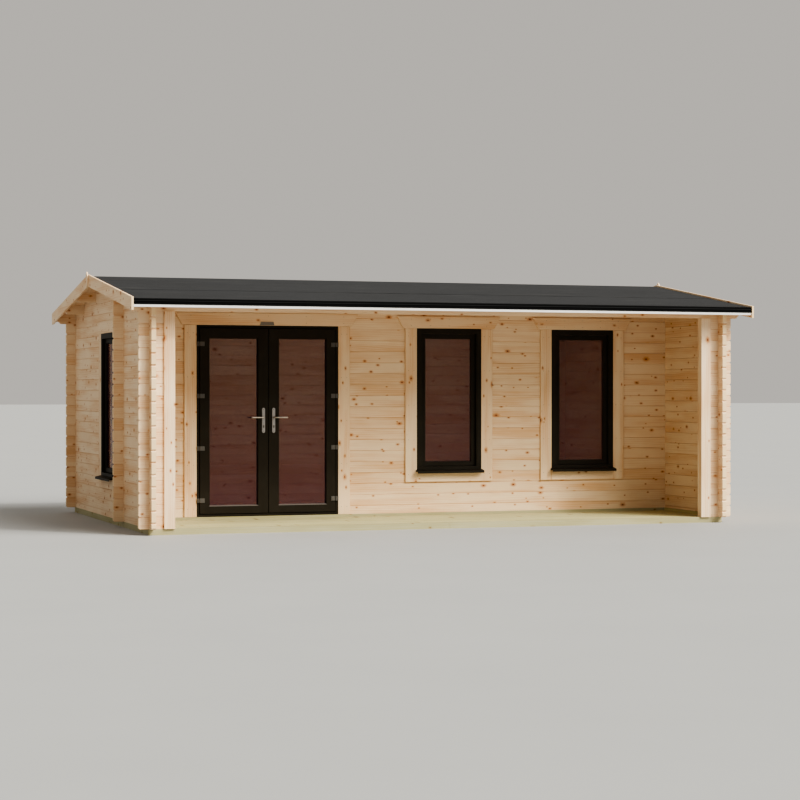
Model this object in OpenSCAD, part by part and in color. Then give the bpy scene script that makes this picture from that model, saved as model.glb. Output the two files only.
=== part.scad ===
// Log cabin with a full-width porch recessed under an apex roof.
// X runs along the ridge, -Y is the porch side, the ridge stands over the origin.

/* [Log walls] */
// Length of the cabin over the outer faces of its side walls
cabin_len = 6020; // [5600:10:7000]
// Depth of the cabin from the face of the front stub walls to the rear face
cabin_depth = 3965; // [3800:5:4400]
// Depth of the porch, from the stub walls' front face to the porch wall's
porch_depth = 1218; // [1000:1:1400]
// Distance of the ridge behind the front face
ridge_back = 1945; // [1800:5:2200]
// Height of one course of logs
log_h = 114; // [110:0.5:118]
// Thickness of a log
log_t = 44; // [34:1:60]
// Full courses below the eave beams
courses = 18; // [17:1:19]
// How far log ends stand past the wall that they cross
log_end = 102; // [60:1:140]
// Depth of the V along each joint
joint_v = 4; // [1:0.5:8]
// Chamfer at the top and bottom of each log end
end_cut = 13; // [2:1:15]
// Length of a stub wall from the side wall's outer face
stub_len = 224; // [150:1:400]

/* [Base and floors] */
// Height of the ground beams under the walls
beam_h = 58; // [40:1:100]
// Width of the ground beams
beam_w = 56; // [44:1:100]
// Distance of the front beam's butt joint from the left outer face
beam_joint = 3016; // [2000:1:4000]
// Top of the porch floor above the ground
porch_top = 60; // [58:1:80]
// Thickness of the porch boards
porch_board = 26; // [18:1:35]
// Top of the room's floor above the ground
room_top = 78; // [76:1:95]
// Thickness of the room's floorboards
room_board = 20; // [16:1:30]
// Thickness of the skirting around the porch floor
skirt_t = 20; // [12:1:30]

/* [Roof] */
// Pitch of the roof in degrees
pitch = 8.3; // [6:0.1:12]
// Thickness of the roof boards
roof_board = 22; // [16:1:28]
// Thickness of the felt
felt_t = 6; // [3:1:8]
// Overhang of the roof past the side walls
gable_over = 204; // [150:1:300]
// Horizontal distance from the ridge to the ends of the bargeboards
roof_run = 2215; // [2150:5:2400]
// Depth of a bargeboard
barge_h = 120; // [95:1:150]
// Thickness of a bargeboard
barge_t = 20; // [16:1:28]
// How far the bargeboards stand above the felt
barge_up = 18; // [5:1:40]
// Height of the felt turned down at the eaves
felt_drip = 44; // [30:1:60]
// How far the felt stops short of the bargeboards' ends
felt_short = 8; // [4:1:15]
// Height of the white eave trim that shows below the felt
trim_show = 31; // [20:1:50]
// Height of a purlin
purlin_h = 95; // [80:1:120]
// Distances of the purlins' ridge-side faces from the ridge
purlin_at = [755, 1455];
// Width of the cover on each apex
apex_w = 84; // [50:1:120]
// Thickness of that cover
apex_t = 14; // [8:1:20]
// How far its point stands above the bargeboards
apex_up = 26; // [10:1:40]

/* [Doors] */
// Left edge of the door frame from the left outer face
door_x = 741; // [600:1:900]
// Width of the door frame
door_w = 1492; // [1400:1:1600]
// Bottom of the door frame above the ground
door_z = 88; // [80:1:100]
// Height of the door frame
door_h = 1937; // [1900:1:1950]
// Visible width of the door frame
door_bar = 25; // [20:1:40]
// Width of a leaf's stiles and top rail
stile_w = 100; // [80:1:130]
// Clearance around each leaf
leaf_gap = 5; // [5:0.5:8]
// Height of each hinge
hinge_h = 45; // [40:1:90]

/* [Windows] */
// Width of each window frame
window_w = 720; // [600:1:800]
// Height of each window frame
window_h = 1500; // [1300:1:1520]
// Left edges of the two front windows from the left outer face
window_x = [3095, 4623];
// Rear edge of the side window behind the front face
side_window_back = 2302; // [2200:1:2600]
// Full courses below the front windows
sill_courses = 4; // [3:1:6]
// Width of the fixed frame
window_bar = 55; // [40:1:70]
// Width of the frame and the sash together
sash_in = 103; // [90:1:120]
// How far the sash lies behind the frame's face
sash_back = 32; // [10:1:40]

/* [Trim boards] */
// Width of the boards around the doors and windows
trim_w = 127; // [95:1:150]
// Thickness of those boards
trim_t = 20; // [15:1:28]
// How far a head board's lower edge runs past the boards below it
head_low = 22; // [10:1:40]
// How far its upper edge runs past them
head_high = 92; // [30:1:120]
// Height of the board under a window
foot_h = 105; // [80:1:127]
// Width of a porch post
post_w = 104; // [90:1:130]

/* [Hidden] */

pine = "#d8c39c";
pine_shade = "#b98d5c";
treated = "#bdb78f";
black_frame = "#16130f";
tint = [0.30, 0.16, 0.13, 0.75];
steel = "#8f8783";

// Places of the walls' faces
x_left = -cabin_len / 2;
x_right = cabin_len / 2;
y_front = -ridge_back;
y_rear = y_front + cabin_depth;
y_porch = y_front + porch_depth;
quarter = log_h / 4;
z_eave = beam_h + courses * log_h;
side_joint = beam_h + log_h / 2;
front_joint = beam_h + log_h;

post_x = stub_len + trim_t;

// Overrun of the shapes that cut others, the gap between boards that meet, and between butted timbers
over = 1;
fit = 0.5;
butt = 1;

// Roof lines: the boards' underside, the felt's underside and its top, at a distance from the ridge
rise = tan(pitch);
upright = 1 / cos(pitch);
ridge_under = z_eave + log_h + ridge_back * rise;
function under_z(y) = ridge_under - abs(y) * rise;
function board_z(y) = under_z(y) + roof_board * upright;
function felt_z(y) = board_z(y) + felt_t * upright;
felt_run = roof_run - felt_short;
drip_z = felt_z(felt_run) - felt_drip;
trim_z = drip_z - trim_show;
trim_back = 18;
trim_lap = 4;
roof_clear = 0.05;
barge_top = felt_z(0) + barge_up;
barge_deep = barge_h * upright;

// Doors: the frame's corner and the leaves' hinge lines
door_x0 = x_left + door_x;
door_x1 = door_x0 + door_w;
door_mid = (door_x0 + door_x1) / 2;
door_z1 = door_z + door_h;
frame_y = y_porch - trim_t;
frame_d = 70;
leaf_y = frame_y - 8;
leaf_d = 56;
leaf_x0 = door_x0 + door_bar + leaf_gap;
leaf_x1 = door_mid - leaf_gap / 2;
leaf_z0 = door_z + door_bar + leaf_gap;
leaf_z1 = door_z1 - door_bar - leaf_gap;
meet_bevel = 3.5;
meet_stile = stile_w + 8;
bottom_rail = 78;
glass_in = 16;
hinge_x = leaf_x0 - leaf_gap / 2;
hinge_y = leaf_y - 9;
hinge_zs = [254, 780, 1309, 1835];
knuckle_d = 15;
knuckle_h = (hinge_h - butt) / 2;
hinge_wing = 52;
glass_t = 24;
plate_h = 256;
plate_w = 34;
plate_t = 8;
plate_in = 51;
plate_x = leaf_x1 - plate_in;
plate_z = 1060;
lever_z = 1090;
lever_l = 130;
neck_l = 46;
neck_d = 15;
grip_d = 20;
lever_clear = 0.5;

// Windows: heights of the front pair, and the side window half a course lower
window_z = beam_h + sill_courses * log_h;
side_window_z = window_z - log_h / 2;
window_d = 64;
window_out = 20;
sill_out = 62;
sill_over = 12;
sill_back = 22;
sill_front = 8;
sill_lip = 14;
sill_sheet = 4;
pane_in = 12;
pane_t = 20;
side_window_y1 = y_front + side_window_back;
side_window_y0 = side_window_y1 - window_w;
front_split = beam_h + 17 * log_h;
side_split = side_joint + 16 * log_h;

// --- shapes shared by the pieces ---

// An outline drawn in X and Z, as thick as t from y towards the rear
module slab_xz(y, t) {
    translate([0, y + t, 0]) rotate([90, 0, 0]) linear_extrude(t) children();
}

// An outline drawn in Y and Z, as thick as t from x towards the right
module slab_yz(x, t) {
    translate([x, 0, 0]) rotate([90, 0, 90]) linear_extrude(t) children();
}

// A block between two corners
module block(x0, x1, y0, y1, z0, z1) {
    translate([x0, y0, z0]) cube([x1 - x0, y1 - y0, z1 - z0]);
}

// Heights of the joints well between z0 and z1, where the lowest full joint is at first
function joints(first, z0, z1) = [for (z = first; z < z1 - over; z = z + log_h) if (z > z0 + over) z];

// Section across a wall between z0 and the heights za and zb of its two faces, with a V at each joint
function wall_section(u, first, z0, za, zb) =
    let (js = joints(first, z0, min(za, zb) - joint_v), n = len(js))
    concat(
        [[u, z0]],
        [for (z = js) each [[u, z - joint_v], [u + joint_v, z], [u, z + joint_v]]],
        [[u, za], [u + log_t, zb]],
        [for (i = [1:1:n]) let (z = js[n - i], v = u + log_t)
            each [[v, z + joint_v], [v - joint_v, z], [v, z - joint_v]]],
        [[u + log_t, z0]]);

// A row of chamfered log ends at e, from z0 up to z1, where side is 1 for a far end and -1 for a near one
function log_ends(e, side, first, z0, z1) =
    let (zs = concat([z0], joints(first, z0, z1 - end_cut), [z1]), n = len(zs) - 1)
    [for (i = [0:n - 1]) each [
        [e - side * end_cut, zs[i]],
        [e, zs[i] + end_cut],
        [e, zs[i + 1] - (i < n - 1 ? end_cut : 0)]]];

function reversed(list) = [for (i = [1:len(list)]) list[len(list) - i]];

// A wall along X between x0 and x1, with log ends where it runs past a side wall
module wall_x(x0, x1, y, z0, za, zb, left_end = false, right_end = false) {
    top = max(za, zb);
    intersection() {
        slab_yz(x0 - over, x1 - x0 + 2 * over) polygon(wall_section(y, front_joint, z0, za, zb));
        slab_xz(y - over, log_t + 2 * over) difference() {
            polygon(concat(
                right_end ? log_ends(x1, 1, front_joint, z0, top) : [[x1, z0], [x1, top]],
                left_end ? reversed(log_ends(x0, -1, front_joint, z0, top)) : [[x0, top], [x0, z0]]));
            if (left_end) notches_x(x_left, z0, top);
            if (right_end) notches_x(x_right - log_t, z0, top);
        }
    }
}

// Notches in a wall along X: at its own joints, and a half notch at its foot
module notches_x(at, z0, z1) {
    for (z = [beam_h : log_h : z1 + log_h])
        if (z + quarter > z0) translate([at, z - quarter]) square([log_t, 2 * quarter]);
}

// Notches in a side wall: at its own joints, half a course off the other walls'
module notches_y(at, z1) {
    for (z = [side_joint : log_h : z1 + log_h])
        translate([at, z - quarter]) square([log_t, 2 * quarter]);
}

// Side wall outline in Y and Z under both slopes of the roof
module side_outline() {
    y0 = y_front - log_end;
    y1 = y_rear + log_end;
    difference() {
        polygon(concat(
            log_ends(y1, 1, side_joint, beam_h, under_z(y1)),
            [[0, ridge_under]],
            reversed(log_ends(y0, -1, side_joint, beam_h, under_z(y0)))));
        notches_y(y_front, z_eave + log_h);
        notches_y(y_porch, under_z(y_porch));
        notches_y(y_rear - log_t, z_eave + log_h);
        for (d = purlin_at) {
            purlin_section(d, 1);
            purlin_section(d, -1);
        }
    }
}

// Section of a purlin whose ridge-side face is at d from the ridge
module purlin_section(d, side) {
    y = side > 0 ? d : -d - log_t;
    z = under_z(d) - purlin_h;
    polygon([[y, z], [y, under_z(y)], [y + log_t, under_z(y + log_t)], [y + log_t, z]]);
}

// A side wall with its joints, cut to the part between y0 and y1 and between z0 and z1
module side_wall(x, y0, y1, z0, z1) {
    intersection() {
        slab_xz(y0, y1 - y0)
            polygon(wall_section(x, side_joint, beam_h, ridge_under + over, ridge_under + over));
        slab_yz(x - over, log_t + 2 * over) intersection() {
            side_outline();
            translate([y0, z0]) square([y1 - y0, z1 - z0]);
        }
    }
}

// A rectangular ring between two corners, as wide as bar
module ring(x0, x1, z0, z1, bar) {
    difference() {
        translate([x0, z0]) square([x1 - x0, z1 - z0]);
        translate([x0 + bar, z0 + bar]) square([x1 - x0 - 2 * bar, z1 - z0 - 2 * bar]);
    }
}

// --- base and floors ---

module front_base_beam() {
    mid = x_left + beam_joint;
    color(treated) difference() {
        union() {
            block(x_left, mid - butt, y_front, y_front + beam_w, 0, porch_top);
            block(mid + butt, x_right, y_front, y_front + beam_w, 0, porch_top);
        }
        for (x = [x_left, x_right - post_x])
            block(x - over, x + post_x + butt, y_front - over, y_front + beam_w + over,
                beam_h, porch_top + over);
    }
}

module rear_base_beam() {
    color(treated) block(x_left, x_right, y_rear - beam_w, y_rear, 0, beam_h);
}

module side_base_beams() {
    color(treated) for (x = [x_left, x_right - beam_w])
        block(x, x + beam_w, y_front + beam_w, y_rear - beam_w, 0, beam_h);
}

module floor_joists() {
    bays = 10;
    x0 = x_left + beam_w + butt;
    x1 = x_right - beam_w - butt - log_t;
    wall_y1 = y_porch + beam_w;
    color(treated) {
        block(x_left + beam_w, x_right - beam_w, y_porch, wall_y1, 0, beam_h);
        for (i = [0:bays]) {
            x = x0 + i * (x1 - x0) / bays;
            block(x, x + log_t, y_front + beam_w, y_porch - butt, 0, porch_top - porch_board);
            block(x, x + log_t, wall_y1 + butt, y_rear - beam_w, 0, room_top - room_board);
        }
    }
}

module porch_floor() {
    inner = log_t + butt;
    z0 = porch_top - porch_board;
    color(treated) difference() {
        block(x_left + inner, x_right - inner, y_front + beam_w, y_porch, z0, porch_top);
        for (x = [x_left, x_right - beam_w])
            block(x, x + beam_w, y_front, y_porch + over, z0 - over, beam_h);
        for (x = [x_left, x_right - post_x])
            block(x, x + post_x, y_front, y_front + log_t + trim_t + butt, z0 - over, porch_top + over);
    }
}

// Low battens at the foot of the walls around the porch floor
module porch_skirting() {
    x0 = x_left + log_t;
    x1 = x_right - log_t;
    y0 = y_front + log_t + trim_t;
    color(treated) difference() {
        block(x0, x1, y0, y_porch, porch_top, door_z);
        block(x0 + skirt_t, x1 - skirt_t, y0 - over, y_porch - skirt_t, porch_top - over, door_z + over);
    }
}

module door_sill() {
    color(treated) block(door_x0, door_x1, y_porch, frame_y + frame_d, beam_h, door_z);
}

module room_floor() {
    inner = log_t + 2 * butt;
    z0 = room_top - room_board;
    color(pine) difference() {
        block(x_left + inner, x_right - inner, y_porch + inner, y_rear - inner, z0, room_top);
        block(door_x0, door_x1, y_porch, frame_y + frame_d, z0 - over, room_top + over);
    }
}

// --- log walls ---

module left_wall_front() {
    color(pine_shade) side_wall(x_left, y_front - log_end, side_window_y0, beam_h, side_split);
}

module left_wall_rear() {
    color(pine_shade) side_wall(x_left, side_window_y1, y_rear + log_end, beam_h, side_split);
}

module left_wall_below_window() {
    color(pine_shade) side_wall(x_left, side_window_y0, side_window_y1, beam_h, side_window_z);
}

module left_wall_gable() {
    color(pine_shade) difference() {
        side_wall(x_left, y_front - log_end, y_rear + log_end, side_split, ridge_under + over);
        block(x_left - over, x_left + log_t + over, side_window_y0, side_window_y1, side_split - over,
            side_window_z + window_h);
    }
}

module right_wall() {
    color(pine_shade)
        side_wall(x_right - log_t, y_front - log_end, y_rear + log_end, beam_h, ridge_under + over);
}

module left_stub_wall() {
    color(pine) wall_x(x_left - log_end, x_left + stub_len, y_front, beam_h, z_eave, z_eave, left_end = true);
}

module right_stub_wall() {
    color(pine)
        wall_x(x_right - stub_len, x_right + log_end, y_front, beam_h, z_eave, z_eave, right_end = true);
}

// A part of the porch wall from its foot up to z1
module porch_wall(x0, x1, z1 = front_split, left_end = false, right_end = false) {
    color(pine) wall_x(x0, x1, y_porch, beam_h, z1, z1, left_end, right_end);
}

module porch_wall_left() { porch_wall(x_left - log_end, door_x0, left_end = true); }

module porch_wall_middle() { porch_wall(door_x1, x_left + window_x[0]); }

module porch_wall_right() { porch_wall(x_left + window_x[0] + window_w, x_left + window_x[1]); }

module porch_wall_end() {
    porch_wall(x_left + window_x[1] + window_w, x_right + log_end, right_end = true);
}

module porch_wall_below_windows() {
    for (x = window_x) porch_wall(x_left + x, x_left + x + window_w, window_z);
}

module porch_wall_top() {
    y0 = y_porch - over;
    y1 = y_porch + log_t + over;
    color(pine) difference() {
        wall_x(x_left - log_end, x_right + log_end, y_porch, front_split,
            under_z(y_porch), under_z(y_porch + log_t), left_end = true, right_end = true);
        block(door_x0, door_x1, y0, y1, front_split - over, door_z1);
        for (x = window_x)
            block(x_left + x, x_left + x + window_w, y0, y1, front_split - over, window_z + window_h);
    }
}

module rear_wall() {
    color(pine) wall_x(x_left - log_end, x_right + log_end, y_rear - log_t, beam_h, z_eave, z_eave,
        left_end = true, right_end = true);
}

// --- roof timbers ---

// The top log of a long wall, run out under the gable overhangs and cut to the roof's slope
module eave_beam(y) {
    tip = gable_over;
    cut = 40;
    color(pine) intersection() {
        slab_yz(x_left - tip - over, cabin_len + 2 * (tip + over))
            polygon([[y, z_eave], [y, under_z(y)], [y + log_t, under_z(y + log_t)], [y + log_t, z_eave]]);
        slab_xz(y - over, log_t + 2 * over) difference() {
            polygon([
                [x_left - tip + cut, z_eave], [x_right + tip - cut, z_eave], [x_right + tip, z_eave + cut],
                [x_right + tip, z_eave + 2 * log_h], [x_left - tip, z_eave + 2 * log_h],
                [x_left - tip, z_eave + cut]]);
            notches_x(x_left, z_eave, z_eave + log_h);
            notches_x(x_right - log_t, z_eave, z_eave + log_h);
        }
    }
}

module front_eave_beam() { eave_beam(y_front); }

module rear_eave_beam() { eave_beam(y_rear - log_t); }

// A purlin let into the gables, with its lower corners cut back at both tips
module purlin(d, side) {
    cut = 22;
    y = side > 0 ? d : -d - log_t;
    z = under_z(d) - purlin_h;
    tip = cabin_len / 2 + gable_over;
    color(pine) intersection() {
        slab_yz(-tip - over, 2 * (tip + over)) purlin_section(d, side);
        slab_xz(y - over, log_t + 2 * over) polygon([
            [-tip + cut, z], [tip - cut, z], [tip, z + cut],
            [tip, z + 2 * log_h], [-tip, z + 2 * log_h], [-tip, z + cut]]);
    }
}

module front_purlins() { for (d = purlin_at) purlin(d, -1); }

module rear_purlins() { for (d = purlin_at) purlin(d, 1); }

// Roof boards of one slope, meeting the other slope over the ridge
module roof_boards(side) {
    x1 = cabin_len / 2 + gable_over;
    run = felt_run - felt_t;
    color(pine) slab_yz(-x1, 2 * x1) polygon([
        [0, ridge_under + roof_clear], [side * run, under_z(run) + roof_clear],
        [side * run, board_z(run)], [0, board_z(0)]]);
}

module front_roof_boards() { roof_boards(-1); }

module rear_roof_boards() { roof_boards(1); }

// Felt over both slopes, turned down over the eaves
module roof_felt() {
    x1 = cabin_len / 2 + gable_over;
    r = felt_run;
    i = felt_run - felt_t;
    color("#434345") slab_yz(-x1, 2 * x1) polygon([
        [-r, drip_z], [-i, drip_z], [-i, board_z(i)], [0, board_z(0)], [i, board_z(i)], [i, drip_z],
        [r, drip_z], [r, felt_z(r)], [0, felt_z(0)], [-r, felt_z(r)]]);
}

// White board under the eave, behind the turned-down felt
module eave_trim(side) {
    x1 = cabin_len / 2 + gable_over;
    o = felt_run - felt_t;
    i = o - trim_back;
    color("white") slab_yz(-x1, 2 * x1) polygon([
        [side * o, under_z(o)], [side * o, drip_z],
        [side * (o + trim_lap), drip_z], [side * (o + trim_lap), trim_z],
        [side * i, trim_z], [side * i, under_z(i)]]);
}

module front_eave_trim() { eave_trim(-1); }

module rear_eave_trim() { eave_trim(1); }

// The two bargeboards of a gable, with plumb cuts at the apex and at the eaves
module bargeboards(x) {
    low = barge_top - roof_run * rise;
    color(pine) for (side = [-1, 1])
        slab_yz(x, barge_t) polygon([
            [side * butt, barge_top - butt * rise], [side * roof_run, low],
            [side * roof_run, low - barge_deep], [side * butt, barge_top - butt * rise - barge_deep]]);
}

module left_bargeboards() { bargeboards(x_left - gable_over - barge_t); }

module right_bargeboards() { bargeboards(x_right + gable_over); }

// A pointed board over the joint of each pair of bargeboards
module apex_covers() {
    edge = apex_w / 2;
    low = barge_top - barge_deep - edge * rise;
    shoulder = barge_top + apex_up - edge;
    out = cabin_len / 2 + gable_over + barge_t;
    color(pine) for (x = [-out - apex_t, out])
        slab_yz(x, apex_t) polygon([
            [-edge, low], [-edge, shoulder], [0, barge_top + apex_up], [edge, shoulder], [edge, low],
            [0, barge_top - barge_deep]]);
}

// --- porch posts ---

// A grooved post that closes the end of a stub wall, where x0 and slot_x are the near sides of both
module post(x0, slot_x) {
    color(pine) difference() {
        block(x0, x0 + post_w, y_front - trim_t, y_front + log_t + trim_t, beam_h, z_eave);
        block(slot_x, slot_x + stub_len, y_front, y_front + log_t, 0, z_eave + over);
    }
}

module left_post() { post(x_left + post_x - post_w, x_left); }

module right_post() { post(x_right - post_x, x_right - stub_len); }

// --- doors ---

module door_frame() {
    stop = 20;
    back = leaf_y + leaf_d + leaf_gap;
    color(black_frame) {
        slab_xz(frame_y, frame_d) ring(door_x0, door_x1, door_z, door_z1, door_bar);
        slab_xz(back, frame_y + frame_d - back)
            ring(door_x0 + door_bar, door_x1 - door_bar, door_z + door_bar, door_z1 - door_bar, stop);
        for (z = hinge_zs) {
            hinge(z, -1, door_x0 + 2 - hinge_x, frame_y);
            mirrored() hinge(z, -1, door_x0 + 2 - hinge_x, frame_y);
        }
    }
}

// One half of a left hinge at height z: side is 1 for the leaf's, whose knuckle is on top, and -1 for the
// frame's. Its wing reaches wing from the pin, and back to the face that it is fixed to.
module hinge(z, side, wing, back) {
    near = side * (knuckle_d / 2 + butt);
    foot = side > 0 ? z + butt / 2 : z - hinge_h / 2;
    translate([hinge_x, hinge_y, foot]) cylinder(h = knuckle_h, d = knuckle_d, $fn = 32);
    block(min(0, wing) + hinge_x, max(0, wing) + hinge_x, hinge_y + butt, back, foot, foot + knuckle_h);
    block(min(near, wing) + hinge_x, max(near, wing) + hinge_x, hinge_y + butt, back,
        z - hinge_h / 2, z + hinge_h / 2);
}

// Plan of a leaf that hinges at the left: its meeting edge is bevelled so that the leaves clear
module leaf_blank(x0, x1, z0, z1) {
    translate([0, 0, z0]) linear_extrude(z1 - z0) polygon([
        [x0, leaf_y], [x1, leaf_y], [x1 - meet_bevel, leaf_y + leaf_d], [x0, leaf_y + leaf_d]]);
}

module leaf() {
    difference() {
        leaf_blank(leaf_x0, leaf_x1, leaf_z0, leaf_z1);
        block(leaf_x0 + stile_w, leaf_x1 - meet_stile, leaf_y - over, leaf_y + leaf_d + over,
            leaf_z0 + bottom_rail, leaf_z1 - stile_w);
    }
}

module pane() {
    block(leaf_x0 + stile_w, leaf_x1 - meet_stile, leaf_y + glass_in, leaf_y + glass_in + glass_t,
        leaf_z0 + bottom_rail, leaf_z1 - stile_w);
}

// The leaf's halves of the hinges, and the plate behind the lever
module fittings() {
    for (z = hinge_zs) hinge(z, 1, hinge_wing, leaf_y);
    slab_xz(leaf_y - plate_t, plate_t) hull() for (side = [-1, 1])
        translate([plate_x, plate_z + side * (plate_h - plate_w) / 2]) circle(d = plate_w, $fn = 32);
}

// A lever whose grip widens towards its tip
module lever() {
    face = leaf_y - plate_t - lever_clear;
    translate([plate_x, face, lever_z]) rotate([90, 0, 0]) cylinder(h = neck_l, d = neck_d, $fn = 32);
    translate([plate_x, face - neck_l, lever_z]) rotate([0, -90, 0]) {
        sphere(d = neck_d, $fn = 32);
        cylinder(h = lever_l, d1 = neck_d, d2 = grip_d, $fn = 32);
        translate([0, 0, lever_l]) sphere(d = grip_d, $fn = 32);
    }
}

// The right leaf and what is on it mirror the left
module mirrored() {
    translate([2 * door_mid, 0, 0]) mirror([1, 0, 0]) children();
}

module left_door_leaf() { color(black_frame) leaf(); }

module right_door_leaf() { color(black_frame) mirrored() leaf(); }

module left_door_glass() { color(tint) pane(); }

module right_door_glass() { color(tint) mirrored() pane(); }

module left_door_fittings() { color(steel) fittings(); }

module right_door_fittings() { color(steel) mirrored() fittings(); }

module left_door_lever() { color(steel) lever(); }

module right_door_lever() { color(steel) mirrored() lever(); }

// --- windows ---

// A window drawn in its own plane: x along the wall from its left edge, y into the wall, z up
module window_unit() {
    slab_xz(-window_out, window_d) ring(0, window_w, 0, window_h, window_bar);
    slab_xz(sash_back - window_out, window_d - sash_back)
        ring(window_bar, window_w - window_bar, window_bar, window_h - window_bar, sash_in - window_bar);
    nose = -window_out - sill_out;
    slab_yz(-sill_over, window_w + 2 * sill_over) polygon([
        [-window_out, 0], [-window_out, sill_back], [nose, sill_front], [nose, -sill_lip],
        [nose + sill_sheet, -sill_lip], [nose + sill_sheet, 0]]);
}

module window_pane() {
    front = sash_back - window_out + pane_in;
    block(sash_in, window_w - sash_in, front, front + pane_t, sash_in, window_h - sash_in);
}

// Boards around an opening w wide and h high: two jambs, a head with slanted ends, and a board below it
// that is foot high, if there is one
module surround(w, h, foot) {
    head = h + fit;
    slab_xz(-trim_t, trim_t) {
        translate([-trim_w, -foot]) square([trim_w, h + foot]);
        translate([w, -foot]) square([trim_w, h + foot]);
        polygon([
            [-trim_w - head_low, head], [w + trim_w + head_low, head],
            [w + trim_w + head_high, head + trim_w], [-trim_w - head_high, head + trim_w]]);
        if (foot > 0) translate([fit, -foot]) square([w - 2 * fit, foot]);
    }
}

// Places a window's own plane on the front wall or on the left wall
module on_porch_wall(x, z) { translate([x_left + x, y_porch, z]) children(); }

module on_left_wall(z) {
    translate([x_left, side_window_y1, z]) rotate([0, 0, -90]) children();
}

module left_porch_window() { color(black_frame) on_porch_wall(window_x[0], window_z) window_unit(); }

module right_porch_window() { color(black_frame) on_porch_wall(window_x[1], window_z) window_unit(); }

module side_window() { color(black_frame) on_left_wall(side_window_z) window_unit(); }

module window_glass() {
    color(tint) {
        for (x = window_x) on_porch_wall(x, window_z) window_pane();
        on_left_wall(side_window_z) window_pane();
    }
}

module window_trims() {
    color(pine) {
        for (x = window_x) on_porch_wall(x, window_z) surround(window_w, window_h, foot_h);
        on_left_wall(side_window_z) surround(window_w, window_h, foot_h);
    }
}

module door_trim() {
    color(pine) on_porch_wall(door_x, door_z) surround(door_w, door_h, 0);
}

// A plate on the head board over the doors, a little left of their joint
module door_head_plate() {
    half = 74;
    tall = 33;
    slant = 8;
    thick = 8;
    translate([door_mid - 12, y_porch - trim_t, door_z1 + 4]) color("#77726a") slab_xz(-thick, thick)
        polygon([[-half, 0], [half, 0], [half - slant, tall], [slant - half, tall]]);
}

front_base_beam();
rear_base_beam();
side_base_beams();
floor_joists();
porch_floor();
porch_skirting();
door_sill();
room_floor();
left_wall_front();
left_wall_rear();
left_wall_below_window();
left_wall_gable();
right_wall();
left_stub_wall();
right_stub_wall();
porch_wall_left();
porch_wall_middle();
porch_wall_right();
porch_wall_end();
porch_wall_below_windows();
porch_wall_top();
rear_wall();
front_eave_beam();
rear_eave_beam();
front_purlins();
rear_purlins();
front_roof_boards();
rear_roof_boards();
roof_felt();
front_eave_trim();
rear_eave_trim();
left_bargeboards();
right_bargeboards();
apex_covers();
left_post();
right_post();
door_frame();
left_door_leaf();
right_door_leaf();
left_door_glass();
right_door_glass();
left_door_fittings();
right_door_fittings();
left_door_lever();
right_door_lever();
door_trim();
door_head_plate();
left_porch_window();
right_porch_window();
side_window();
window_glass();
window_trims();
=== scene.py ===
import math
import random

import bmesh
import bpy
from mathutils import Matrix, Vector


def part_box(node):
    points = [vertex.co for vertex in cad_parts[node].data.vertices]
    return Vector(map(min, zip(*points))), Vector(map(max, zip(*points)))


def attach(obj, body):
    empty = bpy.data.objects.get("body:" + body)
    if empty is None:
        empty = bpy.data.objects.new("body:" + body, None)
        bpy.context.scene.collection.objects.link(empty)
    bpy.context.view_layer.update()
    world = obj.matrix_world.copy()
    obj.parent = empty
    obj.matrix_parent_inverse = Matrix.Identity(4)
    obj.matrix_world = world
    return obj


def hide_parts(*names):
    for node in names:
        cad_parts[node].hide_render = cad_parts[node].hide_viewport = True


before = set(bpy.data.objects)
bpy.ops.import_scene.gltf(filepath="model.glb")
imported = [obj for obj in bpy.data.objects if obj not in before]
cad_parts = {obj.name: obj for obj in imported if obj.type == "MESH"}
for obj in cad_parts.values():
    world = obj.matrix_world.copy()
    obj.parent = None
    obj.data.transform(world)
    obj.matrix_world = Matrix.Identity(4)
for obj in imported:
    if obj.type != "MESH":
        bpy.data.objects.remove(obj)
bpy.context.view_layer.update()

# Log cabin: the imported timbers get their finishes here, and the boards, roof covering,
# door and window profiles, glazing beads, hinges and handles are modelled around them.

cabin = "cabin"  # the body that doesn't move
mm = 0.001
print("frame loaded:", len(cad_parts), "parts")


def srgb(r, g, b):
    # screen colour 0-255 to a linear one
    def line(v):
        v = v / 255
        return v / 12.92 if v <= 0.04045 else ((v + 0.055) / 1.055) ** 2.4
    return (line(r), line(g), line(b), 1.0)


def box(node):
    lo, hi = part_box(node)
    return lo.x, hi.x, lo.y, hi.y, lo.z, hi.z


def levelsAt(node, y):
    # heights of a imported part's corners at one distance from the ridge
    found = {round(v.co.z, 5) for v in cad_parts[node].data.vertices if abs(v.co.y - y) < 1e-4}
    return sorted(found)


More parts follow.
